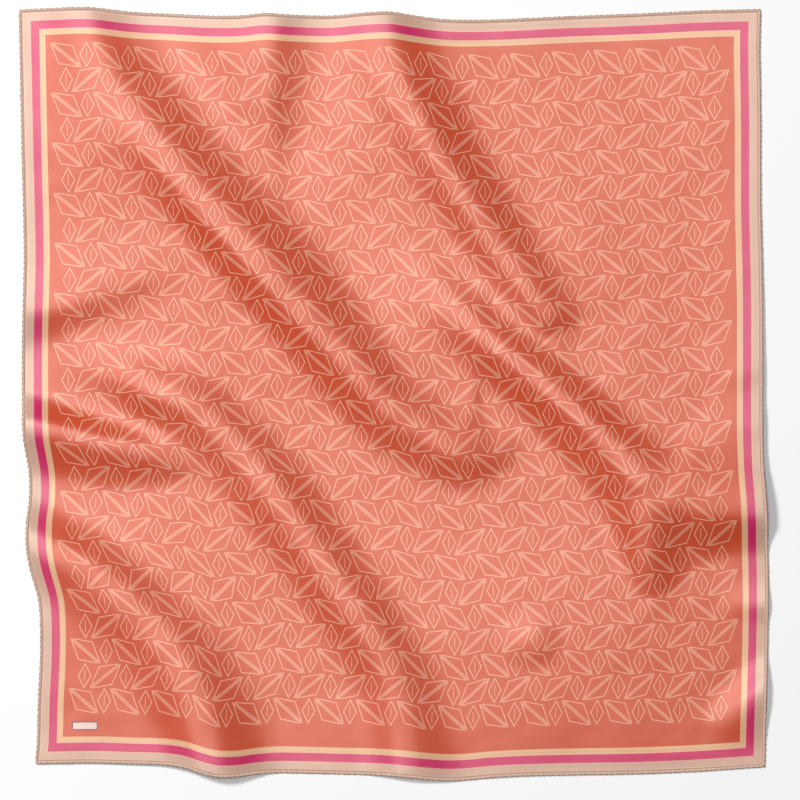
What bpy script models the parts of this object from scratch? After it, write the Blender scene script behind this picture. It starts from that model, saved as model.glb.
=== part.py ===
"""Silk square scarf, laid flat with soft diagonal folds.

One printed panel of silk and the four hand-rolled stretches of hem around it.
The panel is a thin wall over the fold plan: every fold is a ridge that stands
on the surface the scarf lies on, and between the ridges the underside is flat.

Frame: metres, +Z up, +X to the right and +Y to the top edge of the laid
square. The origin is the middle of the laid outline's box, on the surface.

The plan is drafted on a grid of PLAN_UNIT squares, x to the right and y down.
"""

import math

import bmesh
import bpy
import numpy as np

# ------------------------------------------------------------ driving sizes
PLAN_UNIT = 0.00118          # one square of the drafting grid
PANEL_WALL = 0.0010          # wall of the silk panel
ROLL_DIAMETER = 0.0030       # hand-rolled hem
SEAM_GAP = 0.00045           # clear gap between the panel and its hem rolls
CELLS = 44                   # cells of the panel's grid, each way
ROLL_END = 0.0004            # share of an edge left clear at a roll's end
SPLINE_STEPS = 6             # points worked out between two fold stations
BLEND_POWER = 2.0            # how sharply neighbouring folds meet
CREST_ROUND = 0.40           # part of a flank that rounds over the crest
FOOT_ROUND = 0.60            # part of a flank that runs out at the foot

COLLECTION = "silk_square_scarf"

# ---------------------------------------------- laid outline, on the plan
# The cloth's four edges, corner to corner. Columns: x, y.
TOP_EDGE = [
    (19, 10), (50, 8.5), (90, 7.5), (130, 12), (170, 14), (210, 16),
    (240, 16), (265, 13.5), (290, 15), (330, 16), (365, 13), (390, 12),
    (410, 15), (440, 19), (470, 20), (510, 19), (560, 16.5), (600, 15),
    (650, 13), (700, 10.5), (761, 9),
]
BOTTOM_EDGE = [
    (35, 764), (90, 763), (130, 764), (165, 765), (185, 768), (200, 773),
    (216, 777), (236, 777), (255, 774.5), (280, 773), (330, 774), (380, 775.5),
    (410, 778), (430, 780), (450, 781), (470, 780), (490, 778), (530, 776),
    (580, 775), (640, 774), (700, 771.5), (765, 767),
]
LEFT_EDGE = [
    (19, 10), (20, 60), (21, 110), (22, 160), (23, 200), (24, 255),
    (23, 300), (22, 340), (22, 400), (23, 436), (26, 455), (29, 475),
    (29, 500), (26.5, 520), (26, 545), (29, 565), (33, 580), (38, 598),
    (40, 620), (40, 660), (38, 700), (37, 740), (35, 764),
]
RIGHT_EDGE = [
    (761, 9), (760, 50), (761, 120), (761, 200), (762, 250), (763, 300),
    (763, 340), (763, 380), (763, 430), (764, 470), (765, 495), (766, 520),
    (766, 545), (767, 570), (767, 600), (767, 640), (767, 680), (766, 720),
    (765, 767),
]

# ------------------------------------------------ fold plan, ridge by ridge
# A row for each station along a ridge. Columns: x, y on the plan, height of
# the crest in mm, and how far the left and the right flank reach, in plan
# units, to the left and right of the way the ridge runs.
FOLDS = {
    # long ridge from the top left corner to the middle, with a round nose
    "long_diagonal": [
        (73, -12, 10, 62, 36), (84, 20, 11.5, 62, 36), (91, 50, 12, 60, 36),
        (102, 75, 13, 58, 37), (118, 100, 13.5, 56, 38), (137, 125, 14, 55, 40),
        (157, 150, 14.5, 54, 44), (201, 200, 15, 52, 46), (246, 250, 15, 52, 48),
        (291, 300, 14, 52, 50), (338, 350, 13, 52, 52), (384, 400, 12, 58, 52),
        (412, 424, 11, 60, 54), (438, 441, 9.5, 62, 56), (460, 450, 7, 58, 50),
    ],
    # short ridge off the top edge
    "short_top": [
        (256, -8, 6.5, 50, 62), (259, 50, 6.5, 48, 60), (264, 100, 4.5, 44, 48),
        (272, 140, 2, 36, 36), (280, 180, 0, 28, 28),
    ],
    # ridge off the middle of the top edge, running down to the right
    "top_middle": [
        (380, -8, 11, 62, 68), (390, 50, 12, 60, 66), (409, 100, 13, 56, 56),
        (434, 150, 13, 52, 52), (466, 200, 12, 48, 52), (500, 250, 10.5, 46, 50),
        (530, 292, 8.5, 42, 42), (550, 314, 6, 36, 34),
    ],
    # ridge from the middle that turns to the right-hand edge
    "middle_right": [
        (400, 258, 0, 34, 36), (424, 278, 3, 36, 44), (450, 306, 7.5, 38, 52),
        (502, 354, 10.5, 44, 56), (552, 394, 12, 44, 56), (598, 440, 12, 50, 56),
        (626, 470, 12, 62, 62), (664, 488, 12.5, 96, 72), (705, 497, 12, 110, 66),
        (775, 504, 10.5, 110, 60),
    ],
    # foot of that ridge, reaching down
    "middle_right_foot": [
        (618, 490, 8, 76, 60), (640, 545, 8.5, 66, 64), (650, 574, 6, 50, 60),
        (655, 594, 3, 40, 50),
    ],
    # ridges off the left edge
    "left_upper": [
        (8, 303, 7.5, 44, 44), (50, 298, 7.5, 44, 44), (100, 286, 6.5, 40, 40),
        (150, 272, 3.5, 34, 34), (190, 263, 0, 28, 28),
    ],
    "left_middle": [
        (6, 420, 9, 38, 60), (50, 428, 9.5, 38, 60), (100, 441, 9, 34, 52),
        (140, 450, 7, 30, 44), (160, 454, 4.5, 26, 36),
    ],
    # long curved ridge to the bottom edge
    "long_curved": [
        (40, 343, 0, 28, 28), (68, 352, 2.5, 30, 32), (100, 364, 6, 34, 40),
        (145, 380, 8.5, 38, 44), (190, 400, 9.5, 46, 48), (240, 450, 10.5, 54, 50),
        (277, 500, 10.5, 56, 50), (324, 575, 11, 56, 54), (378, 650, 11, 56, 58),
        (410, 705, 11, 58, 60), (442, 790, 11, 60, 62),
    ],
    # curved ridge across the bottom left corner
    "corner_left": [
        (6, 533, 8.5, 50, 44), (55, 556, 9, 52, 46), (95, 579, 10, 56, 50),
        (145, 625, 11, 58, 54), (172, 655, 11, 58, 56), (191, 690, 11, 60, 58),
        (204, 730, 11.5, 62, 58), (214, 790, 11.5, 62, 56),
    ],
    # ripples of the right-hand edge and its bottom corner
    "ripple_upper": [
        (684, 366, 0, 34, 34), (722, 366, 2.5, 36, 36), (775, 364, 3.5, 36, 36),
    ],
    "ripple_middle": [
        (694, 420, 0, 30, 30), (728, 419, 2, 32, 32), (775, 418, 3.5, 32, 32),
    ],
    "corner_right": [
        (782, 672, 5, 54, 44), (752, 700, 5, 54, 44), (730, 724, 4, 50, 40),
        (704, 760, 2, 44, 36),
    ],
}


def catmull_rom(p0, p1, p2, p3, t):
    """Smooth point between p1 and p2, every column alike."""
    return 0.5 * ((2.0 * p1) + (p2 - p0) * t
                  + (2.0 * p0 - 5.0 * p1 + 4.0 * p2 - p3) * t * t
                  + (3.0 * p1 - p0 - 3.0 * p2 + p3) * t * t * t)


def smooth_rows(rows, steps):
    """Rows of a table with smooth rows worked out between them."""
    rows = [np.array(row, dtype=float) for row in rows]
    padded = [2 * rows[0] - rows[1]] + rows + [2 * rows[-1] - rows[-2]]
    out = []
    for i in range(1, len(padded) - 2):
        for step in range(steps):
            out.append(catmull_rom(padded[i - 1], padded[i], padded[i + 1],
                                   padded[i + 2], step / steps))
    out.append(rows[-1])
    return np.array(out)


def edge_curve(rows, axis):
    """Edge as a function of how far along it a point is, from 0 to 1."""
    line = smooth_rows(rows, 4)
    along = (line[:, axis] - line[0, axis]) / (line[-1, axis] - line[0, axis])

    def point(s):
        return np.array([np.interp(s, along, line[:, 0]),
                         np.interp(s, along, line[:, 1])])
    return point


TOP = edge_curve(TOP_EDGE, 0)
BOTTOM = edge_curve(BOTTOM_EDGE, 0)
LEFT = edge_curve(LEFT_EDGE, 1)
RIGHT = edge_curve(RIGHT_EDGE, 1)
CORNERS = [TOP(0.0), TOP(1.0), BOTTOM(0.0), BOTTOM(1.0)]


def plan_point(u, v):
    """Plan point at share u across and v down the square, between its edges."""
    ruled_down = (1 - v) * TOP(u) + v * BOTTOM(u)
    ruled_across = (1 - u) * LEFT(v) + u * RIGHT(v)
    corners = ((1 - u) * (1 - v) * CORNERS[0] + u * (1 - v) * CORNERS[1]
               + (1 - u) * v * CORNERS[2] + u * v * CORNERS[3])
    return ruled_down + ruled_across - corners


def outline_middle():
    """Middle of the laid outline's box, on the plan."""
    shares = np.linspace(0.0, 1.0, 4 * CELLS + 1)
    ring = [plan_point(s, 0.0) for s in shares] + [plan_point(s, 1.0) for s in shares]
    ring += [plan_point(0.0, s) for s in shares] + [plan_point(1.0, s) for s in shares]
    ring = np.array(ring)
    return 0.5 * (ring.min(axis=0) + ring.max(axis=0))


MIDDLE = outline_middle()


def flank(t):
    """Height share of a flank at t, 0 at the crest and 1 at the foot."""
    t = min(max(t, 0.0), 1.0)
    steep = 1.0 / (1.0 - 0.5 * (CREST_ROUND + FOOT_ROUND))
    if t < CREST_ROUND:
        s = t / CREST_ROUND
        return 1.0 - steep * CREST_ROUND * (s ** 3 - 0.5 * s ** 4)
    if t > 1.0 - FOOT_ROUND:
        s = (1.0 - t) / FOOT_ROUND
        return steep * FOOT_ROUND * (s ** 3 - 0.5 * s ** 4)
    return 1.0 - steep * (0.5 * CREST_ROUND + (t - CREST_ROUND))


RIDGES = [smooth_rows(rows, SPLINE_STEPS) for rows in FOLDS.values()]


def ridge_height(ridge, x, y):
    """Height in mm of one ridge over a plan point."""
    start = ridge[:-1, :2]
    run = ridge[1:, :2] - start
    to_point = np.array([x, y]) - start
    share = np.clip((to_point * run).sum(axis=1) / (run * run).sum(axis=1), 0, 1)
    off = to_point - run * share[:, None]
    distance = np.hypot(off[:, 0], off[:, 1])
    i = int(np.argmin(distance))
    far = distance[i]
    row = ridge[i] + (ridge[i + 1] - ridge[i]) * share[i]
    height, left, right = max(row[2], 0.0), row[3], row[4]
    if far < 1e-9:
        return height
    length = math.hypot(run[i, 0], run[i, 1])
    side = (off[i, 0] * run[i, 1] - off[i, 1] * run[i, 0]) / (length * far)
    reach = right + (left - right) * (0.5 + 0.5 * side)
    return height * flank(far / reach)


def cloth_height(x, y):
    """Height in metres of the underside over a plan point, 0 where it rests."""
    total = sum(ridge_height(ridge, x, y) ** BLEND_POWER for ridge in RIDGES)
    return 0.001 * total ** (1.0 / BLEND_POWER)


def cloth_point(u, v, lift=0.0):
    """World point of the laid cloth at shares u and v, moved up by lift."""
    x, y = plan_point(u, v)
    return ((x - MIDDLE[0]) * PLAN_UNIT, (MIDDLE[1] - y) * PLAN_UNIT,
            cloth_height(x, y) + lift)


def shares_between(low, high, count):
    return [low + (high - low) * i / count for i in range(count + 1)]


def make_material(name, colour, roughness):
    material = bpy.data.materials.new(name)
    material.use_nodes = True
    shader = material.node_tree.nodes["Principled BSDF"]
    shader.inputs["Base Color"].default_value = (*colour, 1.0)
    shader.inputs["Roughness"].default_value = roughness
    shader.inputs["Metallic"].default_value = 0.0
    material.diffuse_color = (*colour, 1.0)
    return material


def make_panel(collection, inset):
    """The printed square: a grid laid over the fold plan, given its wall."""
    mesh = bpy.data.meshes.new("panel")
    bm = bmesh.new()
    bmesh.ops.create_grid(bm, x_segments=CELLS, y_segments=CELLS, size=0.5)
    for vert in bm.verts:
        u = inset + (1 - 2 * inset) * (vert.co.x + 0.5)
        v = inset + (1 - 2 * inset) * (0.5 - vert.co.y)
        vert.co = cloth_point(u, v)
    bmesh.ops.triangulate(bm, faces=bm.faces[:], quad_method="SHORT_EDGE")
    bm.normal_update()
    bm.to_mesh(mesh)
    bm.free()
    mesh.shade_smooth()
    panel = bpy.data.objects.new("panel", mesh)
    collection.objects.link(panel)
    wall = panel.modifiers.new("wall", "SOLIDIFY")
    wall.thickness = PANEL_WALL
    wall.offset = 1.0
    panel.data.materials.append(make_material("silk_print", (0.86, 0.22, 0.15), 0.45))
    return panel


def make_roll(collection, name, shares, material):
    """One stretch of rolled hem along the points of the cloth's edge."""
    curve = bpy.data.curves.new(name, "CURVE")
    curve.dimensions = "3D"
    curve.bevel_depth = 0.5 * ROLL_DIAMETER
    curve.bevel_resolution = 2
    curve.use_fill_caps = True
    curve.twist_mode = "Z_UP"
    spline = curve.splines.new("POLY")
    spline.points.add(len(shares) - 1)
    for point, (u, v) in zip(spline.points, shares):
        point.co = (*cloth_point(u, v, 0.5 * ROLL_DIAMETER), 1.0)
    roll = bpy.data.objects.new(name, curve)
    collection.objects.link(roll)
    curve.materials.append(material)
    return roll


def main():
    for old in list(bpy.data.objects):
        bpy.data.objects.remove(old, do_unlink=True)
    collection = bpy.data.collections.new(COLLECTION)
    bpy.context.scene.collection.children.link(collection)

    wide = (CORNERS[1][0] - CORNERS[0][0]) * PLAN_UNIT
    inset = (ROLL_DIAMETER + SEAM_GAP) / wide
    roll_line = 0.5 * ROLL_DIAMETER / wide
    make_panel(collection, inset)

    hem = make_material("silk_hem", (0.80, 0.60, 0.50), 0.5)
    # the rolls turn where the panel's own edge points lie
    lines = shares_between(inset, 1 - inset, CELLS)
    across = [ROLL_END] + lines + [1 - ROLL_END]
    down = [inset + ROLL_END] + lines[1:-1] + [1 - inset - ROLL_END]
    make_roll(collection, "hem_top", [(u, roll_line) for u in across], hem)
    make_roll(collection, "hem_bottom", [(u, 1 - roll_line) for u in across], hem)
    make_roll(collection, "hem_left", [(roll_line, v) for v in down], hem)
    make_roll(collection, "hem_right", [(1 - roll_line, v) for v in down], hem)


main()
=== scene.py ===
"""Silk square scarf, laid flat with soft diagonal folds: what shows of it.

The printed square is one thin sheet over the fold plan, with the print set out
on the cloth's own flat measure, so that the stripes and the pattern bend over
the folds with it. The hand-rolled hem runs round it in one piece, pinched by
its whip stitches.

Metres, +Z up, +X to the right, +Y to the top edge. The plan is drafted on a
grid of PLAN_UNIT squares, x to the right and y down, as the solids are.
"""

import math

import bmesh
import bpy
import numpy as np
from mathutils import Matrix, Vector

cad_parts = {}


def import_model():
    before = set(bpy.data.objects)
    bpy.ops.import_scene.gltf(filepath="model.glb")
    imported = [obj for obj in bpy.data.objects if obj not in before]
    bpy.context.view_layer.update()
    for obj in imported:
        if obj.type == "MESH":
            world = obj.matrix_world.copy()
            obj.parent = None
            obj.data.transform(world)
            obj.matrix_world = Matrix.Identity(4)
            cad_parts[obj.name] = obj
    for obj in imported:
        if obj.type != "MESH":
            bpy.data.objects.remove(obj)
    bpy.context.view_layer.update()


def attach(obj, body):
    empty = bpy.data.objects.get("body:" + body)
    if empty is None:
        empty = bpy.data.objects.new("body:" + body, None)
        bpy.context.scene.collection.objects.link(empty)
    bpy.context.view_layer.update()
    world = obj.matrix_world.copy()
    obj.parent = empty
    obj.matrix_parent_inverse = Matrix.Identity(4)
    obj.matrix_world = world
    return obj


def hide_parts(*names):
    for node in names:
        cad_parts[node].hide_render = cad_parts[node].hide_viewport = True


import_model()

# ------------------------------------------------------------ driving sizes
PLAN_UNIT = 0.00118          # one square of the drafting grid
CUT = 0.90                   # the square as it was cut and hemmed
CELLS = 218                  # cells of the sheet's grid, each way
SHEET_WALL = 0.00035         # thickness of the silk
SHEET_LIFT = 0.00012         # the underside clears the floor by this much
SHEET_INSET = 0.0008         # the sheet ends inside its rolled hem
ROLL_INSET = 0.0014          # middle of the roll, in from the outline
STITCH_STEP = 0.0062         # from one whip stitch to the next
SPLINE_STEPS = 6             # points worked out between two fold stations
BLEND_POWER = 1.4            # how sharply neighbouring folds meet
CREST_ROUND = 0.30           # part of a flank that rounds over the crest
FOOT_ROUND = 0.60            # part of a flank that runs out at the foot
SLOW_REACH = 250.0           # reach of the slow part of a flank, plan units
SLOW_ROUND = (0.12, 0.35)    # its share at the crest and at the foot
SOFTEN = 2.2                 # width that every fold is softened by, plan units

# ---------------------------------------------- laid outline, on the plan
# The cloth's four edges, corner to corner. Columns: x, y.
TOP_EDGE = [
    (19, 10), (50, 8.5), (90, 7.5), (130, 12), (170, 14), (210, 16),
    (240, 16), (265, 13.5), (290, 15), (330, 16), (365, 13), (390, 12),
    (410, 15), (440, 19), (470, 20), (510, 19), (560, 16.5), (600, 15),
    (650, 13), (700, 10.5), (761, 9),
]
BOTTOM_EDGE = [
    (35, 764), (90, 763), (130, 764), (165, 765), (185, 768), (200, 773),
    (216, 777), (236, 777), (255, 774.5), (280, 773), (330, 774), (380, 775.5),
    (410, 778), (430, 780), (450, 781), (470, 780), (490, 778), (530, 776),
    (580, 775), (640, 774), (700, 771.5), (765, 767),
]
LEFT_EDGE = [
    (19, 10), (20, 60), (21, 110), (22, 160), (23, 200), (24, 255),
    (23, 300), (22, 340), (22, 400), (23, 436), (26, 455), (29, 475),
    (29, 500), (26.5, 520), (26, 545), (29, 565), (33, 580), (38, 598),
    (40, 620), (40, 660), (38, 700), (37, 740), (35, 764),
]
RIGHT_EDGE = [
    (761, 9), (760, 50), (761, 120), (761, 200), (762, 250), (763, 300),
    (763, 340), (763, 380), (763, 430), (764, 470), (766, 495), (767.5, 520),
    (768, 545), (768.5, 570), (768.5, 600), (768, 640), (767, 680), (766, 720),
    (765, 767),
]

# ------------------------------------------------ fold plan, ridge by ridge
# A row for each station along a ridge. Columns: x, y on the plan, height of
# the crest in mm, how far the left and the right flank reach, in plan units,
# to the left and right of the way the ridge runs, and the share of the left
# and of the right flank's height that runs out slowly, over SLOW_REACH.
FOLDS = {
    # long ridge from the top left corner to the middle, with a hooked nose
    "long_diagonal": [
        (66, -12, 11.0, 86, 44, .22, .84), (78, 20, 12.2, 88, 44, .22, .86),
        (88, 50, 13.6, 92, 46, .20, .92), (100, 76, 14.8, 94, 46, .18, .98),
        (116, 103, 15.4, 98, 44, .14, .98), (135, 127, 15.8, 102, 42, .10, .93),
        (155, 153, 16.0, 104, 40, .06, .78), (199, 204, 15.8, 104, 42, .05, .58),
        (243, 253, 15.0, 102, 44, .05, .46), (289, 303, 13.2, 90, 48, .08, .34),
        (337, 353, 10.8, 72, 52, .20, .18), (383, 402, 8.6, 54, 58, .25, 0),
        (414, 424, 7.4, 54, 58, .26, 0), (439, 441, 6.2, 56, 56, .28, 0),
        (461, 452, 5.2, 56, 50, .30, 0), (480, 454, 3.8, 50, 44, .30, 0),
        (496, 451, 2.0, 42, 34, .30, 0), (510, 445, .7, 36, 30, .3, 0),
        (520, 440, 0, 34, 30, .3, 0),
    ],
    # short ridge off the top edge
    "short_top": [
        (260, -8, 11.6, 88, 102, .25, .78), (260, 50, 11.0, 86, 102, .25, .78),
        (261, 95, 9.0, 74, 94, .22, .76), (265, 135, 5.6, 54, 78, .2, .72),
        (271, 175, 2.4, 42, 60, .1, .6), (276, 220, 0, 36, 40, 0, .6),
    ],
    # ridge off the middle of the top edge, running down to the right
    "top_middle": [
        (376, -8, 11.6, 66, 62, .46, .78), (386, 50, 13.0, 66, 62, .46, .78),
        (405, 100, 13.6, 66, 54, .42, .74), (432, 150, 12.8, 62, 46, .34, .62),
        (465, 199, 10.8, 56, 46, .34, .42), (499, 248, 8.6, 52, 48, .36, .22),
        (530, 290, 6.9, 48, 44, .34, .12), (551, 318, 5.0, 44, 36, .3, .10),
        (560, 334, 1.8, 36, 30, .3, .10),
    ],
    # ridge from the middle that turns to the right-hand edge
    "middle_right": [
        (352, 206, 0, 40, 60, .5, .5), (392, 244, 1.6, 40, 60, .5, .5),
        (430, 281, 4.4, 42, 58, .45, .44), (452, 304, 6.4, 42, 54, .44, .34),
        (478, 329, 8.0, 40, 52, .44, .20), (505, 352, 9.2, 40, 52, .44, .08),
        (554, 392, 10.0, 42, 54, .44, 0), (601, 437, 10.6, 46, 62, .42, 0),
        (630, 464, 11.0, 54, 70, .42, 0), (654, 484, 10.8, 70, 78, .45, 0),
        (678, 496, 11.0, 86, 84, .48, 0), (706, 505, 10.8, 92, 74, .48, 0),
        (738, 511, 10.4, 90, 54, .46, 0), (776, 514, 10.2, 86, 46, .44, 0),
    ],
    # foot of that ridge, reaching down
    "middle_right_foot": [
        (636, 494, 3.2, 60, 52, 0, 0), (641, 520, 6.8, 62, 50, 0, 0),
        (646, 550, 6.6, 60, 44, 0, 0), (651, 578, 3.8, 50, 38, 0, 0),
        (655, 596, .9, 36, 30, 0, 0),
    ],
    # ridges off the left edge
    "left_upper": [
        (8, 308, 5.0, 60, 56, .85, 0), (50, 302, 5.0, 60, 56, .85, 0),
        (100, 288, 4.2, 56, 54, .85, 0), (150, 273, 2.4, 46, 46, .8, 0),
        (195, 262, 0, 34, 34, .8, 0),
    ],
    "left_middle": [
        (6, 420, 9.0, 40, 60, 0, 0), (50, 429, 9.0, 38, 60, 0, 0),
        (100, 441, 7.8, 32, 58, .15, 0), (140, 451, 6.2, 30, 52, .45, 0),
        (164, 457, 4.2, 34, 44, .8, 0), (190, 463, 1.8, 30, 34, .9, 0),
        (218, 470, 0, 30, 30, .9, 0),
    ],
    # long curved ridge to the bottom edge
    "long_curved": [
        (44, 358, 0, 54, 50, .5, .2), (72, 358, 1.4, 52, 46, .4, .2),
        (100, 366, 2.8, 54, 46, .2, .1), (125, 376, 5.0, 58, 46, 0, .05),
        (145, 387, 7.4, 60, 48, 0, .05), (190, 407, 8.0, 62, 50, 0, .15),
        (237, 451, 7.6, 62, 54, 0, .25), (277, 501, 7.4, 62, 56, 0, .15),
        (330, 576, 7.0, 60, 58, 0, 0), (381, 652, 6.4, 60, 58, .10, 0),
        (399, 704, 5.6, 68, 54, 0, 0), (408, 790, 5.8, 72, 54, 0, 0),
    ],
    # curved ridge across the bottom left corner
    "corner_left": [
        (6, 528, 9.4, 56, 54, 0, .52), (55, 553, 9.8, 58, 58, 0, .56),
        (95, 577, 9.6, 62, 64, .04, .54), (145, 622, 9.2, 68, 66, .08, .46),
        (170, 654, 9.0, 76, 66, .06, .40), (189, 690, 9.2, 82, 66, 0, .34),
        (203, 730, 9.6, 84, 66, 0, .28), (213, 790, 9.6, 86, 66, 0, .24),
    ],
    # ripples of the right-hand edge and its bottom corner
    "ripple_upper": [
        (690, 366, 0, 40, 34, .7, 0), (722, 366, .9, 42, 38, .7, 0),
        (775, 366, 1.9, 42, 38, .6, 0),
    ],
    "ripple_middle": [
        (704, 424, 0, 36, 34, .3, 0), (730, 424, 1.0, 38, 36, .3, 0),
        (775, 424, 2.4, 38, 36, .3, 0),
    ],
    "ripple_low": [
        (712, 604, 0, 30, 26, 0, 0), (740, 604, 1.4, 32, 28, 0, 0),
        (776, 604, 2.8, 32, 28, 0, 0),
    ],
    "corner_right": [
        (776, 682, 4.8, 56, 38, 0, 0), (752, 700, 4.4, 54, 38, 0, 0),
        (732, 716, 3.0, 48, 36, 0, 0), (710, 736, 0, 38, 32, 0, 0),
    ],
}

# Low rises between the folds. Columns: x, y on the plan, height in mm, and the
# reach to the left, right, up and down, in plan units.
SWELLS = {
    "lower_swell": (560, 650, 2.3, 200, 260, 150, 170),
}
# Small rises that lie on top of the rest, in the same columns.
BUMPS = {
    "lower_bump": (532, 643, 1.5, 42, 34, 36, 30),
}

# ---------------------------------------------------- print, with painted shade at the hem's turn, in millimetres
# Stripes from the cut edge inward. Columns: where the stripe ends, colour.
STRIPES = [
    (13.9, "beige"), (24.5, "pink"), (31.6, "peach"),
]
COLOURS = {
    "ground": (0.525, 0.062, 0.020),
    "lozenge": (0.530, 0.063, 0.022),
    "line": (0.715, 0.345, 0.225),
    "beige": (0.540, 0.325, 0.242),
    "pink": (0.520, 0.014, 0.100),
    "peach": (0.650, 0.360, 0.200),
    "margin": (0.720, 0.330, 0.280),
    # painted shade and painted highlight along the turn of the hem
    "painted_crease_shade": (0.430, 0.270, 0.200),
    "painted_crease_highlight": (0.700, 0.500, 0.400),
    "label": (0.700, 0.500, 0.450),
    "label_edge": (0.200, 0.035, 0.055),
}
PATTERN = {                  # half-drop lozenges, from middle to middle
    "column": 50.84, "row": 29.615, "first": 56.0, "last": 844.0, "last_row": 826.0,
    "long": 24.0, "wide": 13.2, "tilt": 40.0,
    "small_wide": 7.8, "small_tall": 14.2,
    "line": 1.05, "bar": 2.5,
}
LABEL = {"left": 42.5, "right": 74.5, "low": 39.0, "high": 49.6, "edge": 1.5}


# ------------------------------------------------------------ cloth's shape
def catmull_rom(p0, p1, p2, p3, t):
    return 0.5 * ((2.0 * p1) + (p2 - p0) * t
                  + (2.0 * p0 - 5.0 * p1 + 4.0 * p2 - p3) * t * t
                  + (3.0 * p1 - p0 - 3.0 * p2 + p3) * t * t * t)


def smooth_rows(rows, steps):
    """Rows of a table with smooth rows worked out between them."""
    rows = [np.array(row, dtype=float) for row in rows]
    padded = [2 * rows[0] - rows[1]] + rows + [2 * rows[-1] - rows[-2]]
    out = []
    for i in range(1, len(padded) - 2):
        for step in range(steps):
            out.append(catmull_rom(padded[i - 1], padded[i], padded[i + 1],
                                   padded[i + 2], step / steps))
    out.append(rows[-1])
    return np.array(out)


def edge_curve(rows, axis):
    """Edge as a function of how far along it a point is, from 0 to 1."""
    line = smooth_rows(rows, 4)
    along = (line[:, axis] - line[0, axis]) / (line[-1, axis] - line[0, axis])

    def point(s):
        return np.stack([np.interp(s, along, line[:, 0]),
                         np.interp(s, along, line[:, 1])], axis=-1)
    return point


TOP = edge_curve(TOP_EDGE, 0)
BOTTOM = edge_curve(BOTTOM_EDGE, 0)
LEFT = edge_curve(LEFT_EDGE, 1)
RIGHT = edge_curve(RIGHT_EDGE, 1)
CORNERS = [TOP(0.0), TOP(1.0), BOTTOM(0.0), BOTTOM(1.0)]


def plan_points(u, v):
    """Plan points at shares u across and v down the square."""
    u, v = np.asarray(u, float), np.asarray(v, float)
    uu, vv = u[..., None], v[..., None]
    down = (1 - vv) * TOP(u) + vv * BOTTOM(u)
    across = (1 - uu) * LEFT(v) + uu * RIGHT(v)
    corners = ((1 - uu) * (1 - vv) * CORNERS[0] + uu * (1 - vv) * CORNERS[1]
               + (1 - uu) * vv * CORNERS[2] + uu * vv * CORNERS[3])
    return down + across - corners


# middle of the laid outline, on the plan, which is the frame's origin
MIDDLE = np.array([393.03, 394.19])


def flank(t, top=CREST_ROUND, foot=FOOT_ROUND):
    """Height share of a flank at t, 0 at the crest and 1 at the foot."""
    t = np.clip(t, 0.0, 1.0)
    steep = 1.0 / (1.0 - 0.5 * (top + foot))
    a = np.clip(t / top, 0.0, 1.0)
    b = np.clip((1.0 - t) / foot, 0.0, 1.0)
    over = 1.0 - steep * top * (a ** 3 - 0.5 * a ** 4)
    out = steep * foot * (b ** 3 - 0.5 * b ** 4)
    middle = 1.0 - steep * (0.5 * top + (t - top))
    return np.where(t < top, over, np.where(t > 1.0 - foot, out, middle))


def add_ridge(total, rows, x, y):
    """Adds one ridge, in mm, to the powers of the heights over the plan."""
    ridge = smooth_rows(rows, SPLINE_STEPS)
    reach = max(ridge[:, 3:5].max(), SLOW_REACH)
    near = ((x >= ridge[:, 0].min() - reach) & (x <= ridge[:, 0].max() + reach)
            & (y >= ridge[:, 1].min() - reach) & (y <= ridge[:, 1].max() + reach))
    px, py = x[near], y[near]
    best = np.full(px.shape, 1e9)
    height, width, slow = np.zeros(px.shape), np.ones(px.shape), np.zeros(px.shape)
    for a, b in zip(ridge[:-1], ridge[1:]):
        run = b[:2] - a[:2]
        length2 = float(run @ run)
        ox, oy = px - a[0], py - a[1]
        share = np.clip((ox * run[0] + oy * run[1]) / length2, 0.0, 1.0)
        ox, oy = ox - share * run[0], oy - share * run[1]
        far = np.hypot(ox, oy)
        side = (ox * run[1] - oy * run[0]) / (math.sqrt(length2)
                                              * np.maximum(far, 1e-6))
        row = a[2:7, None] + (b[2:7] - a[2:7])[:, None] * share
        nearer = far < best
        best = np.where(nearer, far, best)
        height = np.where(nearer, np.maximum(row[0], 0.0), height)
        width = np.where(nearer, row[2] + (row[1] - row[2]) * (0.5 + 0.5 * side),
                         width)
        slow = np.where(nearer, row[4] + (row[3] - row[4]) * (0.5 + 0.5 * side), slow)
    slow = np.clip(slow, 0.0, 1.0)
    left = (1.0 - slow) * flank(best / width) + slow * flank(best / SLOW_REACH, *SLOW_ROUND)
    total[near] += (height * left) ** BLEND_POWER


def soften(field, width):
    """Gaussian softening along both axes."""
    reach = int(3 * width) + 1
    taps = np.exp(-0.5 * (np.arange(-reach, reach + 1) / width) ** 2)
    taps /= taps.sum()
    for axis in (0, 1):
        padded = np.pad(field, [(reach, reach) if i == axis else (0, 0)
                                for i in (0, 1)], mode="edge")
        out = np.zeros_like(field)
        for i, tap in enumerate(taps):
            cut = [slice(None), slice(None)]
            cut[axis] = slice(i, i + field.shape[axis])
            out += tap * padded[tuple(cut)]
        field = out
    return field


def waves(x, y, size, seed):
    """Smooth uneven field from -1 to 1 whose bumps are about size apart."""
    rng = np.random.default_rng(seed)
    grid = rng.uniform(-1.0, 1.0, (48, 48))
    gx = (x / size + 7.3) % 46.0
    gy = (y / size + 3.1) % 46.0
    ix, iy = gx.astype(int), gy.astype(int)
    fx, fy = gx - ix, gy - iy
    fx, fy = fx * fx * (3 - 2 * fx), fy * fy * (3 - 2 * fy)
    low = grid[iy, ix] * (1 - fx) + grid[iy, ix + 1] * fx
    high = grid[iy + 1, ix] * (1 - fx) + grid[iy + 1, ix + 1] * fx
    return low * (1 - fy) + high * fy


RASTER_LOW, RASTER_HIGH = -14, 814


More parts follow.
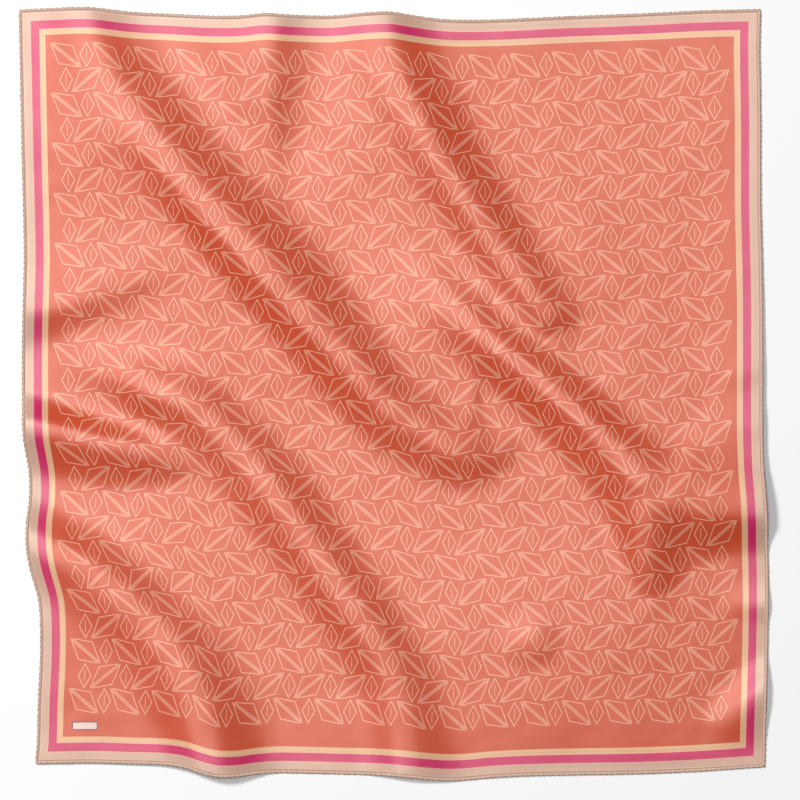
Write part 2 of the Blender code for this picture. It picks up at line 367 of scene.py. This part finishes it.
def cloth_raster():
    """Height of the cloth's underside in mm, a value for each plan square."""
    line = np.arange(RASTER_LOW, RASTER_HIGH + 1, dtype=float)
    x, y = np.meshgrid(line, line)
    total = np.zeros(x.shape)
    for rows in FOLDS.values():
        add_ridge(total, rows, x, y)
    for mx, my, height, left, right, up, down in SWELLS.values():
        across = (x - mx) / np.where(x < mx, left, right)
        along = (y - my) / np.where(y < my, up, down)
        rise = height * np.maximum(1.0 - across ** 2 - along ** 2, 0.0) ** 2
        total += rise ** BLEND_POWER
    z = soften(total ** (1.0 / BLEND_POWER), SOFTEN)
    for mx, my, height, left, right, up, down in BUMPS.values():
        across = (x - mx) / np.where(x < mx, left, right)
        along = (y - my) / np.where(y < my, up, down)
        z += height * np.maximum(1.0 - across ** 2 - along ** 2, 0.0) ** 2
    uneven = (0.30 * waves(x, y, 46.0, 3) + 0.16 * waves(x + 0.4 * y, y, 21.0, 5)
              + 0.22 * waves(x - y, 0.35 * (x + y), 30.0, 11))
    return z + 0.34 + uneven * (0.50 + 0.06 * np.minimum(z, 8.0))


RASTER = cloth_raster()


def cloth_heights(plan):
    """Heights in metres of the underside over plan points."""
    gx = np.clip(plan[..., 0] - RASTER_LOW, 0, RASTER.shape[1] - 1.001)
    gy = np.clip(plan[..., 1] - RASTER_LOW, 0, RASTER.shape[0] - 1.001)
    ix, iy = gx.astype(int), gy.astype(int)
    fx, fy = gx - ix, gy - iy
    low = RASTER[iy, ix] * (1 - fx) + RASTER[iy, ix + 1] * fx
    high = RASTER[iy + 1, ix] * (1 - fx) + RASTER[iy + 1, ix + 1] * fx
    return 0.001 * (low * (1 - fy) + high * fy)


def world(plan, lift=0.0):
    """World points of the cloth over plan points, moved up by lift."""
    out = np.empty(plan.shape[:-1] + (3,))
    out[..., 0] = (plan[..., 0] - MIDDLE[0]) * PLAN_UNIT
    out[..., 1] = (MIDDLE[1] - plan[..., 1]) * PLAN_UNIT
    out[..., 2] = cloth_heights(plan) + lift
    return out


WIDE = (CORNERS[1][0] - CORNERS[0][0]) * PLAN_UNIT


# ---------------------------------------------------------------- materials
class Graph:
    """Writes node maths as calls: numbers and sockets mix freely."""

    def __init__(self, name):
        self.material = bpy.data.materials.new(name)
        self.material.use_nodes = True
        self.tree = self.material.node_tree
        self.shader = self.tree.nodes["Principled BSDF"]

    def node(self, kind, **settings):
        node = self.tree.nodes.new(kind)
        for key, value in settings.items():
            setattr(node, key, value)
        return node

    def put(self, socket, value):
        if isinstance(value, bpy.types.NodeSocket):
            self.tree.links.new(value, socket)
        elif isinstance(value, (tuple, list)):
            socket.default_value = (*value, 1.0) if len(socket.default_value) == 4 else value
        else:
            socket.default_value = value

    def math(self, operation, a, b=0.0, c=None, clamp=False):
        node = self.node("ShaderNodeMath", operation=operation, use_clamp=clamp)
        self.put(node.inputs[0], a)
        self.put(node.inputs[1], b)
        if c is not None:
            self.put(node.inputs[2], c)
        return node.outputs[0]

    def add(self, a, b):
        return self.math("ADD", a, b)

    def sub(self, a, b):
        return self.math("SUBTRACT", a, b)

    def mul(self, a, b):
        return self.math("MULTIPLY", a, b)

    def lowest(self, a, b):
        return self.math("MINIMUM", a, b)

    def highest(self, a, b):
        return self.math("MAXIMUM", a, b)

    def size(self, a):
        return self.math("ABSOLUTE", a)

    def step(self, value, low, high, to_low=0.0, to_high=1.0):
        """Smooth step of value from low to high."""
        node = self.node("ShaderNodeMapRange", interpolation_type="SMOOTHSTEP")
        for socket, given in zip(node.inputs[:5], (value, low, high, to_low, to_high)):
            self.put(socket, given)
        return node.outputs[0]

    def mix(self, share, a, b):
        node = self.node("ShaderNodeMix", data_type="RGBA")
        self.put(node.inputs[0], share)
        self.put(node.inputs[6], a)
        self.put(node.inputs[7], b)
        return node.outputs[2]

    def combine(self, x, y, z=0.0):
        node = self.node("ShaderNodeCombineXYZ")
        for socket, given in zip(node.inputs, (x, y, z)):
            self.put(socket, given)
        return node.outputs[0]

    def noise(self, where, scale, detail=2.0, roughness=0.5):
        node = self.node("ShaderNodeTexNoise")
        self.put(node.inputs["Vector"], where)
        node.inputs["Scale"].default_value = scale
        node.inputs["Detail"].default_value = detail
        node.inputs["Roughness"].default_value = roughness
        return node.outputs["Fac"]

    def bump(self, height, distance, strength, normal=None):
        node = self.node("ShaderNodeBump")
        node.inputs["Strength"].default_value = strength
        node.inputs["Distance"].default_value = distance
        self.put(node.inputs["Height"], height)
        if normal is not None:
            self.put(node.inputs["Normal"], normal)
        return node.outputs[0]

    def finish(self, colour, **values):
        self.put(self.shader.inputs["Base Color"], colour)
        for key, value in values.items():
            self.put(self.shader.inputs[key.replace("_", " ")], value)
        return self.material


def colour_over(g, colour, level):
    """The colour, lightened so that the given level becomes full."""
    node = g.node("ShaderNodeVectorMath", operation="SCALE")
    g.put(node.inputs[0], colour)
    node.inputs["Scale"].default_value = 1.0 / level
    return node.outputs[0]


def silk_print():
    """The printed silk: stripes, half-drop lozenges and a bare label space, with a painted
    shade line and a painted highlight line where the hem turns over.
    """
    g = Graph("silk_print")
    uv = g.node("ShaderNodeUVMap", uv_map="OFBake").outputs[0]
    parts = g.node("ShaderNodeSeparateXYZ")
    g.put(parts.inputs[0], uv)
    cut = CUT * 1000.0
    s = g.mul(parts.outputs[0], cut)                  # mm from the left edge
    up = g.mul(parts.outputs[1], cut)                 # mm from the bottom edge
    t = g.sub(cut, up)                                # mm from the top edge

    # print wanders a little from its lines, as ink does in silk
    place = g.combine(s, up)
    drift = g.mul(g.sub(g.noise(place, 0.9, 2.0), 0.5), 0.35)

    edge = g.lowest(g.lowest(s, g.sub(cut, s)), g.lowest(t, up))
    edge = g.add(edge, drift)

    # lozenges, tilted one way and the other row by row
    p = PATTERN
    column, row, first = p["column"], p["row"], p["first"]
    t_in = g.sub(t, first)
    row_at = g.math("ROUND", g.math("DIVIDE", t_in, row))
    odd = g.math("MODULO", g.add(row_at, 100.0), 2.0)
    shift = g.mul(odd, 0.5 * column)
    s_in = g.sub(g.sub(s, first), shift)
    column_at = g.math("ROUND", g.math("DIVIDE", s_in, column))
    x = g.add(g.sub(s_in, g.mul(column_at, column)), drift)
    y = g.sub(t_in, g.mul(row_at, row))
    facing = g.sub(1.0, g.mul(odd, 2.0))
    tilt = math.radians(p["tilt"])
    turned = g.mul(x, facing)
    along = g.add(g.mul(turned, math.cos(tilt)), g.mul(y, math.sin(tilt)))
    off = g.sub(g.mul(y, math.cos(tilt)), g.mul(turned, math.sin(tilt)))
    far = g.add(g.math("DIVIDE", g.size(along), p["long"]),
                g.math("DIVIDE", g.size(off), p["wide"]))
    per = 1.0 / math.hypot(1.0 / p["long"], 1.0 / p["wide"])
    half = 0.5 * p["line"]

    def line_of(distance, half_width):
        return g.step(distance, half_width - 0.3, half_width + 0.3, 1.0, 0.0)

    def between(value, low, high):
        return g.mul(g.math("GREATER_THAN", value, low), g.math("LESS_THAN", value, high))

    outline = line_of(g.mul(g.size(g.sub(far, 1.0)), per), half)
    inside = g.step(far, 0.98, 1.0, 1.0, 0.0)
    # a bar on the long axis: two lines with paler ink between them
    bar_side = line_of(g.size(g.sub(g.size(off), 0.5 * p["bar"])), 0.42)
    bar_fill = line_of(g.size(off), 0.5 * p["bar"])
    bar = g.mul(g.highest(bar_side, g.mul(bar_fill, 0.35)), inside)

    rows_kept = between(t, first - 0.5 * row, p["last_row"] + 0.5 * row)
    kept = g.mul(rows_kept, between(g.add(g.mul(column_at, column), shift),
                                    -5.0, p["last"] - first + 5.0))
    big = g.mul(g.highest(outline, bar), kept)

    # small upright lozenges between the large ones
    s_half = g.sub(s_in, 0.5 * column)
    small_at = g.math("ROUND", g.math("DIVIDE", s_half, column))
    aside = g.add(g.sub(s_half, g.mul(small_at, column)), drift)
    far_small = g.add(g.math("DIVIDE", g.size(aside), p["small_wide"]),
                      g.math("DIVIDE", g.size(y), p["small_tall"]))
    per_small = 1.0 / math.hypot(1.0 / p["small_wide"], 1.0 / p["small_tall"])
    small_line = g.highest(
        line_of(g.mul(g.size(g.sub(far_small, 1.0)), per_small), half),
        line_of(g.highest(g.size(aside), g.sub(g.size(y), 0.45 * p["small_tall"])), 0.4))
    kept_small = g.mul(rows_kept, between(
        g.add(g.add(g.mul(small_at, column), 0.5 * column), shift),
        -5.0, p["last"] - first + 5.0))
    lines = g.highest(big, g.mul(small_line, kept_small))

    # the ink takes unevenly along the lines
    worn = g.step(g.noise(place, 0.12, 4.0, 0.6), 0.25, 0.75, 0.86, 1.0)
    colour = g.mix(g.mul(inside, kept), COLOURS["ground"], COLOURS["lozenge"])
    colour = g.mix(g.mul(lines, worn), colour, COLOURS["line"])

    # label space, left bare
    from_middle_s = g.sub(g.size(g.sub(s, 0.5 * (LABEL["left"] + LABEL["right"]))),
                          0.5 * (LABEL["right"] - LABEL["left"]))
    from_middle_t = g.sub(g.size(g.sub(up, 0.5 * (LABEL["low"] + LABEL["high"]))),
                          0.5 * (LABEL["high"] - LABEL["low"]))
    border = g.highest(from_middle_s, from_middle_t)
    colour = g.mix(g.step(border, -0.3, 0.3, 1.0, 0.0), colour, COLOURS["label_edge"])
    colour = g.mix(g.step(border, -0.3 - LABEL["edge"], 0.3 - LABEL["edge"], 1.0, 0.0),
                   colour, COLOURS["label"])

    # stripes, each printed over the one inside it, with a pale margin between
    for ends, name in reversed(STRIPES):
        colour = g.mix(g.step(edge, ends - 0.35, ends + 0.35, 1.0, 0.0),
                       colour, COLOURS[name])
        if name != "peach":
            colour = g.mix(g.mul(line_of(g.size(g.sub(edge, ends + 0.1)), 0.40), 0.75),
                           colour, COLOURS["margin"])
    # painted shade: a fine dark line where the hem turns over on to the square, with a
    # painted highlight line inside it
    colour = g.mix(g.mul(line_of(g.size(g.sub(edge, 3.9)), 0.30), 0.55),
                   colour, COLOURS["painted_crease_shade"])
    colour = g.mix(g.mul(line_of(g.size(g.sub(edge, 4.9)), 0.35), 0.55),
                   colour, COLOURS["painted_crease_highlight"])
    # lighter and darker streaks that run the length of the border
    run = g.mul(g.add(s, up), 0.004)
    streak = g.add(g.mul(g.noise(g.combine(edge, run), 0.42, 2.0, 0.6), 0.7),
                   g.mul(g.noise(g.combine(edge, run, 9.0), 1.3, 2.0, 0.6), 0.3))
    in_border = g.step(edge, STRIPES[-1][0], STRIPES[-1][0] + 0.4, 1.0, 0.22)
    tone = g.add(1.0, g.mul(g.mul(g.sub(streak, 0.5), in_border), 0.55))
    mottle = g.add(0.985, g.mul(g.noise(place, 0.035, 3.0, 0.55), 0.03))
    tone = g.mul(tone, mottle)
    shade = g.node("ShaderNodeVectorMath", operation="SCALE")
    g.put(shade.inputs[0], colour)
    g.put(shade.inputs["Scale"], tone)
    colour = shade.outputs[0]

    # twill: fine lines on the slant, over a plain cross weave
    twill = g.math("SINE", g.mul(g.add(s, up), 2.0 * math.pi / 0.62))
    cross = g.mul(g.math("SINE", g.mul(s, 2.0 * math.pi / 0.31)),
                  g.math("SINE", g.mul(up, 2.0 * math.pi / 0.31)))
    slub = g.noise(g.combine(g.mul(s, 0.25), g.mul(up, 3.0)), 0.8, 2.0)
    weave = g.add(g.add(twill, g.mul(cross, 0.5)), g.mul(slub, 1.4))
    crease = g.noise(place, 0.055, 3.0, 0.5)
    normal = g.bump(crease, 0.0010, 0.12)
    normal = g.bump(weave, 0.00003, 0.15, normal)
    rough = g.add(0.272, g.mul(g.noise(place, 0.25, 3.0), 0.05))
    # the gloss takes some of the silk's own colour
    tint = g.mix(0.44, (1.0, 1.0, 0.90), colour_over(g, colour, 0.55))
    g.put(g.shader.inputs["Specular Tint"], tint)
    return g.finish(colour, Roughness=rough, Normal=normal, Specular_IOR_Level=1.0,
                    Sheen_Weight=0.05, Sheen_Roughness=0.35)


def hem_silk():
    """The rolled edge: beige silk turned over on itself."""
    g = Graph("silk_hem")
    uv = g.node("ShaderNodeUVMap", uv_map="OFBake").outputs[0]
    parts = g.node("ShaderNodeSeparateXYZ")
    g.put(parts.inputs[0], uv)
    along = g.mul(parts.outputs[0], 3600.0)           # mm along the hem
    around = g.mul(parts.outputs[1], 8.5)             # mm around the roll
    place = g.combine(along, around)
    streak = g.noise(g.combine(g.mul(along, 0.05), g.mul(around, 2.4)), 0.9, 3.0, 0.65)
    blotch = g.noise(place, 0.10, 3.0)
    colour = g.mix(g.step(streak, 0.30, 0.72), (0.580, 0.370, 0.285), (0.650, 0.440, 0.350))
    colour = g.mix(g.mul(g.step(blotch, 0.45, 0.75), 0.35), colour, (0.640, 0.400, 0.310))
    twill = g.math("SINE", g.mul(g.add(along, g.mul(around, 1.4)), 2.0 * math.pi / 0.62))
    normal = g.bump(g.add(twill, g.mul(streak, 1.6)), 0.00004, 0.5)
    return g.finish(colour, Roughness=0.55, Normal=normal,
                    Specular_IOR_Level=0.16, Sheen_Weight=0.06, Sheen_Roughness=0.4)


def thread():
    g = Graph("hem_thread")
    where = g.node("ShaderNodeTexCoord").outputs["Object"]
    twist = g.noise(where, 2600.0, 2.0)
    colour = g.mix(twist, (0.075, 0.058, 0.055), (0.150, 0.120, 0.110))
    normal = g.bump(twist, 0.00005, 0.6)
    return g.finish(colour, Roughness=0.6, Normal=normal, Sheen_Weight=0.1)


def paper():
    g = Graph("studio_floor")
    where = g.node("ShaderNodeTexCoord").outputs["Object"]
    grain = g.noise(where, 90.0, 2.0)
    colour = g.mix(grain, (0.900, 0.900, 0.902), (0.908, 0.908, 0.910))
    return g.finish(colour, Roughness=0.9, Specular_IOR_Level=0.1)


# -------------------------------------------------------------- silk square
def new_object(name, mesh):
    made = bpy.data.objects.new(name, mesh)
    bpy.context.scene.collection.objects.link(made)
    return made


def grid_mesh(name, points, coordinates, around=False):
    """Mesh over a grid of points, with its map. The grid may close on itself."""
    rows, columns = points.shape[:2]
    ids = np.arange(rows * columns).reshape(rows, columns)
    if around:
        ids = np.concatenate([ids, ids[:, :1]], axis=1)
    a, b, c, d = ids[:-1, :-1], ids[:-1, 1:], ids[1:, 1:], ids[1:, :-1]
    faces = np.stack([a, d, c, b], axis=-1).reshape(-1, 4)
    mesh = bpy.data.meshes.new(name)
    mesh.from_pydata(points.reshape(-1, 3).tolist(), [], faces.tolist())
    layer = mesh.uv_layers.new(name="OFBake")
    wide = coordinates.shape[1]
    spots = np.arange(coordinates.shape[0] * wide).reshape(coordinates.shape[0], wide)
    a, b, c, d = spots[:-1, :-1], spots[:-1, 1:], spots[1:, 1:], spots[1:, :-1]
    corners = np.stack([a, d, c, b], axis=-1).reshape(-1)
    layer.data.foreach_set("uv", coordinates.reshape(-1, 2)[corners].ravel())
    mesh.shade_smooth()
    mesh.update()
    return mesh


def make_square():
    inset = SHEET_INSET / WIDE
    line = np.linspace(inset, 1 - inset, CELLS + 1)
    u, v = np.meshgrid(line, line)
    points = world(plan_points(u, v), SHEET_LIFT)

    # how far along the cloth itself each point is, row by row and column by
    # column, which sets the print out on the cut square
    steps = np.linalg.norm(np.diff(points, axis=1), axis=-1)
    across = np.concatenate([np.zeros((CELLS + 1, 1)), np.cumsum(steps, axis=1)], axis=1)
    across /= across[:, -1:]
    steps = np.linalg.norm(np.diff(points, axis=0), axis=-1)
    down = np.concatenate([np.zeros((1, CELLS + 1)), np.cumsum(steps, axis=0)], axis=0)
    down /= down[-1:, :]
    margin = SHEET_INSET / CUT
    coordinates = np.stack([margin + (1 - 2 * margin) * across,
                            1 - margin - (1 - 2 * margin) * down], axis=-1)

    mesh = grid_mesh("silk_square", points, coordinates)
    square = new_object("silk_square", mesh)
    wall = square.modifiers.new("wall", "SOLIDIFY")
    wall.thickness = SHEET_WALL
    wall.offset = 1.0
    mesh.materials.append(silk_print())
    return square


# --------------------------------------------------------------- rolled hem
def hem_line(step):
    """Middle of the roll round the square: plan points and their run."""
    inset = ROLL_INSET / WIDE
    fine = np.linspace(inset, 1 - inset, 1600)
    low, high = np.full_like(fine, inset), np.full_like(fine, 1 - inset)
    ring = np.concatenate([
        plan_points(fine, low)[:-1], plan_points(high, fine)[:-1],
        plan_points(fine[::-1], high)[:-1], plan_points(low, fine[::-1])[:-1]])
    # rounds the four corners a little
    for _ in range(6):
        ring = 0.25 * np.roll(ring, 1, 0) + 0.5 * ring + 0.25 * np.roll(ring, -1, 0)
    closed = np.concatenate([ring, ring[:1]])
    points = world(closed, 0.0)
    far = np.concatenate([[0.0], np.cumsum(np.linalg.norm(np.diff(points, axis=0), axis=1))])
    count = int(round(far[-1] / step))
    at = np.linspace(0.0, far[-1], count, endpoint=False)
    plan = np.stack([np.interp(at, far, closed[:, 0]), np.interp(at, far, closed[:, 1])],
                    axis=-1)
    return plan, at, far[-1]


def frames_of(points):
    """Run and outward side of a closed line of world points."""
    run = np.roll(points, -1, 0) - np.roll(points, 1, 0)
    run /= np.linalg.norm(run, axis=1, keepdims=True)
    side = np.cross(run, np.array([0.0, 0.0, 1.0]))
    side /= np.linalg.norm(side, axis=1, keepdims=True)
    return run, -side, np.cross(side, run)


# Section of the rolled hem. Columns: out from the middle of the roll, and up
# from the floor side, in mm. The inner side runs down on to the square.
HEM_SECTION = [
    (1.36, 0.50), (1.24, 0.76), (0.86, 0.98), (0.26, 1.10), (-0.44, 1.06),
    (-1.10, 0.88), (-1.66, 0.66), (-2.10, 0.40), (-1.60, 0.18), (-0.20, 0.04),
    (0.90, 0.16),
]


def make_hem():
    rings_per_stitch = 8
    plan, at, total = hem_line(STITCH_STEP / rings_per_stitch)
    stitches = int(round(total / STITCH_STEP))
    rng = np.random.default_rng(21)
    # where each stitch pinches the roll, not quite evenly spaced
    spots = (np.arange(stitches) + rng.uniform(-0.14, 0.14, stitches)) * total / stitches
    depth = rng.uniform(0.6, 1.1, stitches)
    gap = np.abs(at[:, None] - spots[None, :])
    gap = np.minimum(gap, total - gap)
    nearest = gap.argmin(axis=1)
    pinch = depth[nearest] * np.exp(-(gap[np.arange(len(at)), nearest] / 0.0014) ** 2)
    uneven = waves(at * 1000.0, 0 * at + 3.0, 9.0, 31)
    size = 1.0 + 0.08 * uneven - 0.20 * pinch

    base = world(plan, 0.4 * SHEET_LIFT)
    run, out, up = frames_of(base)
    section = 0.001 * np.array(HEM_SECTION)
    points = (base[:, None, :]
              + size[:, None, None] * section[None, :, 0, None] * out[:, None, :]
              + size[:, None, None] * section[None, :, 1, None] * up[:, None, :])
    closed = np.concatenate([points, points[:1]])
    sides = len(section)
    share_along = np.concatenate([at, [total]]) / total
    share_round = np.linspace(0.0, 1.0, sides + 1)
    coordinates = np.empty((len(closed), sides + 1, 2))
    coordinates[..., 0] = share_along[:, None]
    coordinates[..., 1] = share_round[None, :]
    mesh = grid_mesh("rolled_hem", closed, coordinates, around=True)
    bm = bmesh.new()
    bm.from_mesh(mesh)
    bmesh.ops.remove_doubles(bm, verts=bm.verts[:], dist=1e-7)
    bmesh.ops.recalc_face_normals(bm, faces=bm.faces[:])
    bm.to_mesh(mesh)
    bm.free()
    mesh.shade_smooth()
    mesh.materials.append(hem_silk())
    hem = new_object("rolled_hem", mesh)
    return hem, spots, total, (at, base, run, out, up, size)


# A whip stitch on the outer face of the roll. Columns: along the hem, out from
# the middle of the roll, and up from the floor side, in mm.
STITCH_PATH = [
    (-1.60, 1.05, 0.44), (-1.25, 1.42, 0.56), (-0.60, 1.52, 0.68), (0.15, 1.48, 0.82),
    (0.85, 1.30, 0.94), (1.35, 0.92, 1.06), (1.62, 0.45, 1.04),
]


def make_stitches(spots, total, line):
    """Whip stitches: each lies on the slant over the outer face of the roll."""
    at, base, run, out, up, size = line
    rng = np.random.default_rng(8)
    path = 0.001 * np.array(STITCH_PATH)
    thick, sides = 0.00042, 5
    points, faces = [], []
    for spot in spots:
        i = int(np.searchsorted(at, spot % total)) % len(at)
        stretch = rng.uniform(0.8, 1.15)
        swing = rng.uniform(-0.00012, 0.00012)
        first = len(points)
        knots = [base[i] + run[i] * a * stretch + size[i] * (out[i] * b + up[i] * c)
                 + up[i] * swing for a, b, c in path]
        for k, knot in enumerate(knots):
            way = knots[min(k + 1, len(knots) - 1)] - knots[max(k - 1, 0)]
            way /= np.linalg.norm(way)
            ring_a = np.cross(way, up[i])
            ring_a /= np.linalg.norm(ring_a)
            ring_b = np.cross(ring_a, way)
            wide = thick * (0.75 if k in (0, len(knots) - 1) else 1.0)
            for j in range(sides):
                turn = 2 * math.pi * j / sides
                points.append(knot + wide * (math.cos(turn) * ring_a
                                             + math.sin(turn) * ring_b))
        for k in range(len(knots) - 1):
            for j in range(sides):
                n = (j + 1) % sides
                faces.append((first + k * sides + j, first + k * sides + n,
                              first + (k + 1) * sides + n, first + (k + 1) * sides + j))
        faces.append(tuple(first + j for j in reversed(range(sides))))
        faces.append(tuple(first + (len(knots) - 1) * sides + j for j in range(sides)))
    mesh = bpy.data.meshes.new("hem_stitches")
    mesh.from_pydata([p.tolist() for p in points], [], faces)
    bm = bmesh.new()
    bm.from_mesh(mesh)
    bmesh.ops.recalc_face_normals(bm, faces=bm.faces[:])
    for vert in bm.verts:
        vert.co.z = max(vert.co.z, 0.00005)
    bm.to_mesh(mesh)
    bm.free()
    mesh.shade_smooth()
    mesh.materials.append(thread())
    return new_object("hem_stitches", mesh)


# ------------------------------------------------------------------- studio
def make_floor():
    mesh = bpy.data.meshes.new("studio_floor")
    half = 9.0
    mesh.from_pydata([(-half, -half, 0), (half, -half, 0), (half, half, 0), (-half, half, 0)],
                     [], [(0, 1, 2, 3)])
    mesh.materials.append(paper())
    return new_object("studio_floor", mesh)


def add_light(name, where, size, power, colour=(1.0, 1.0, 1.0), spread=None):
    light = bpy.data.lights.new(name, "AREA")
    light.shape = "DISK"
    light.size = size
    light.energy = power
    light.color = colour
    if spread is not None:
        light.spread = spread
    made = new_object(name, light)
    made.location = where
    made.rotation_mode = "QUATERNION"
    made.rotation_quaternion = Vector(where).to_track_quat("Z", "Y")
    made.visible_camera = False
    return made


def direction(azimuth, from_vertical, distance):
    """Point at a distance, azimuth counted from +X towards +Y, in degrees."""
    a, e = math.radians(azimuth), math.radians(from_vertical)
    return (distance * math.sin(e) * math.cos(a), distance * math.sin(e) * math.sin(a),
            distance * math.cos(e))


def make_studio():
    scene = bpy.context.scene
    world_ = bpy.data.worlds.new("studio")
    scene.world = world_
    world_.use_nodes = True
    background = world_.node_tree.nodes["Background"]
    background.inputs["Color"].default_value = (1.0, 1.0, 1.0, 1.0)
    background.inputs["Strength"].default_value = 0.13

    add_light("overhead_softbox", direction(135.0, 8.0, 14.0), 5.8, 755.0)
    add_light("key_softbox", direction(146.0, 54.0, 9.0), 2.2, 800.0)

    camera = bpy.data.cameras.new("camera")
    camera.type = "PERSP"
    camera.sensor_width = 36.0
    distance = 10.0
    camera.lens = 36.0 * distance / (800.0 * PLAN_UNIT)
    camera.clip_start, camera.clip_end = 0.05, 50.0
    made = new_object("camera", camera)
    made.location = ((400.0 - MIDDLE[0]) * PLAN_UNIT, (MIDDLE[1] - 400.0) * PLAN_UNIT,
                     distance + 0.001)
    made.rotation_euler = (0.0, 0.0, 0.0)
    scene.camera = made
    scene.view_settings.view_transform = "Standard"
    scene.view_settings.look = "None"
    scene.view_settings.exposure = 0.0
    scene.view_settings.gamma = 1.0


# --------------------------------------------------------------------- main
square = make_square()
hem, stitch_spots, hem_length, hem_line_data = make_hem()
stitches = make_stitches(stitch_spots, hem_length, hem_line_data)
floor = make_floor()
make_studio()

for piece in (square, hem, stitches):
    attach(piece, "root")
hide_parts("panel")
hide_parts("hem_top", "hem_bottom", "hem_left", "hem_right")
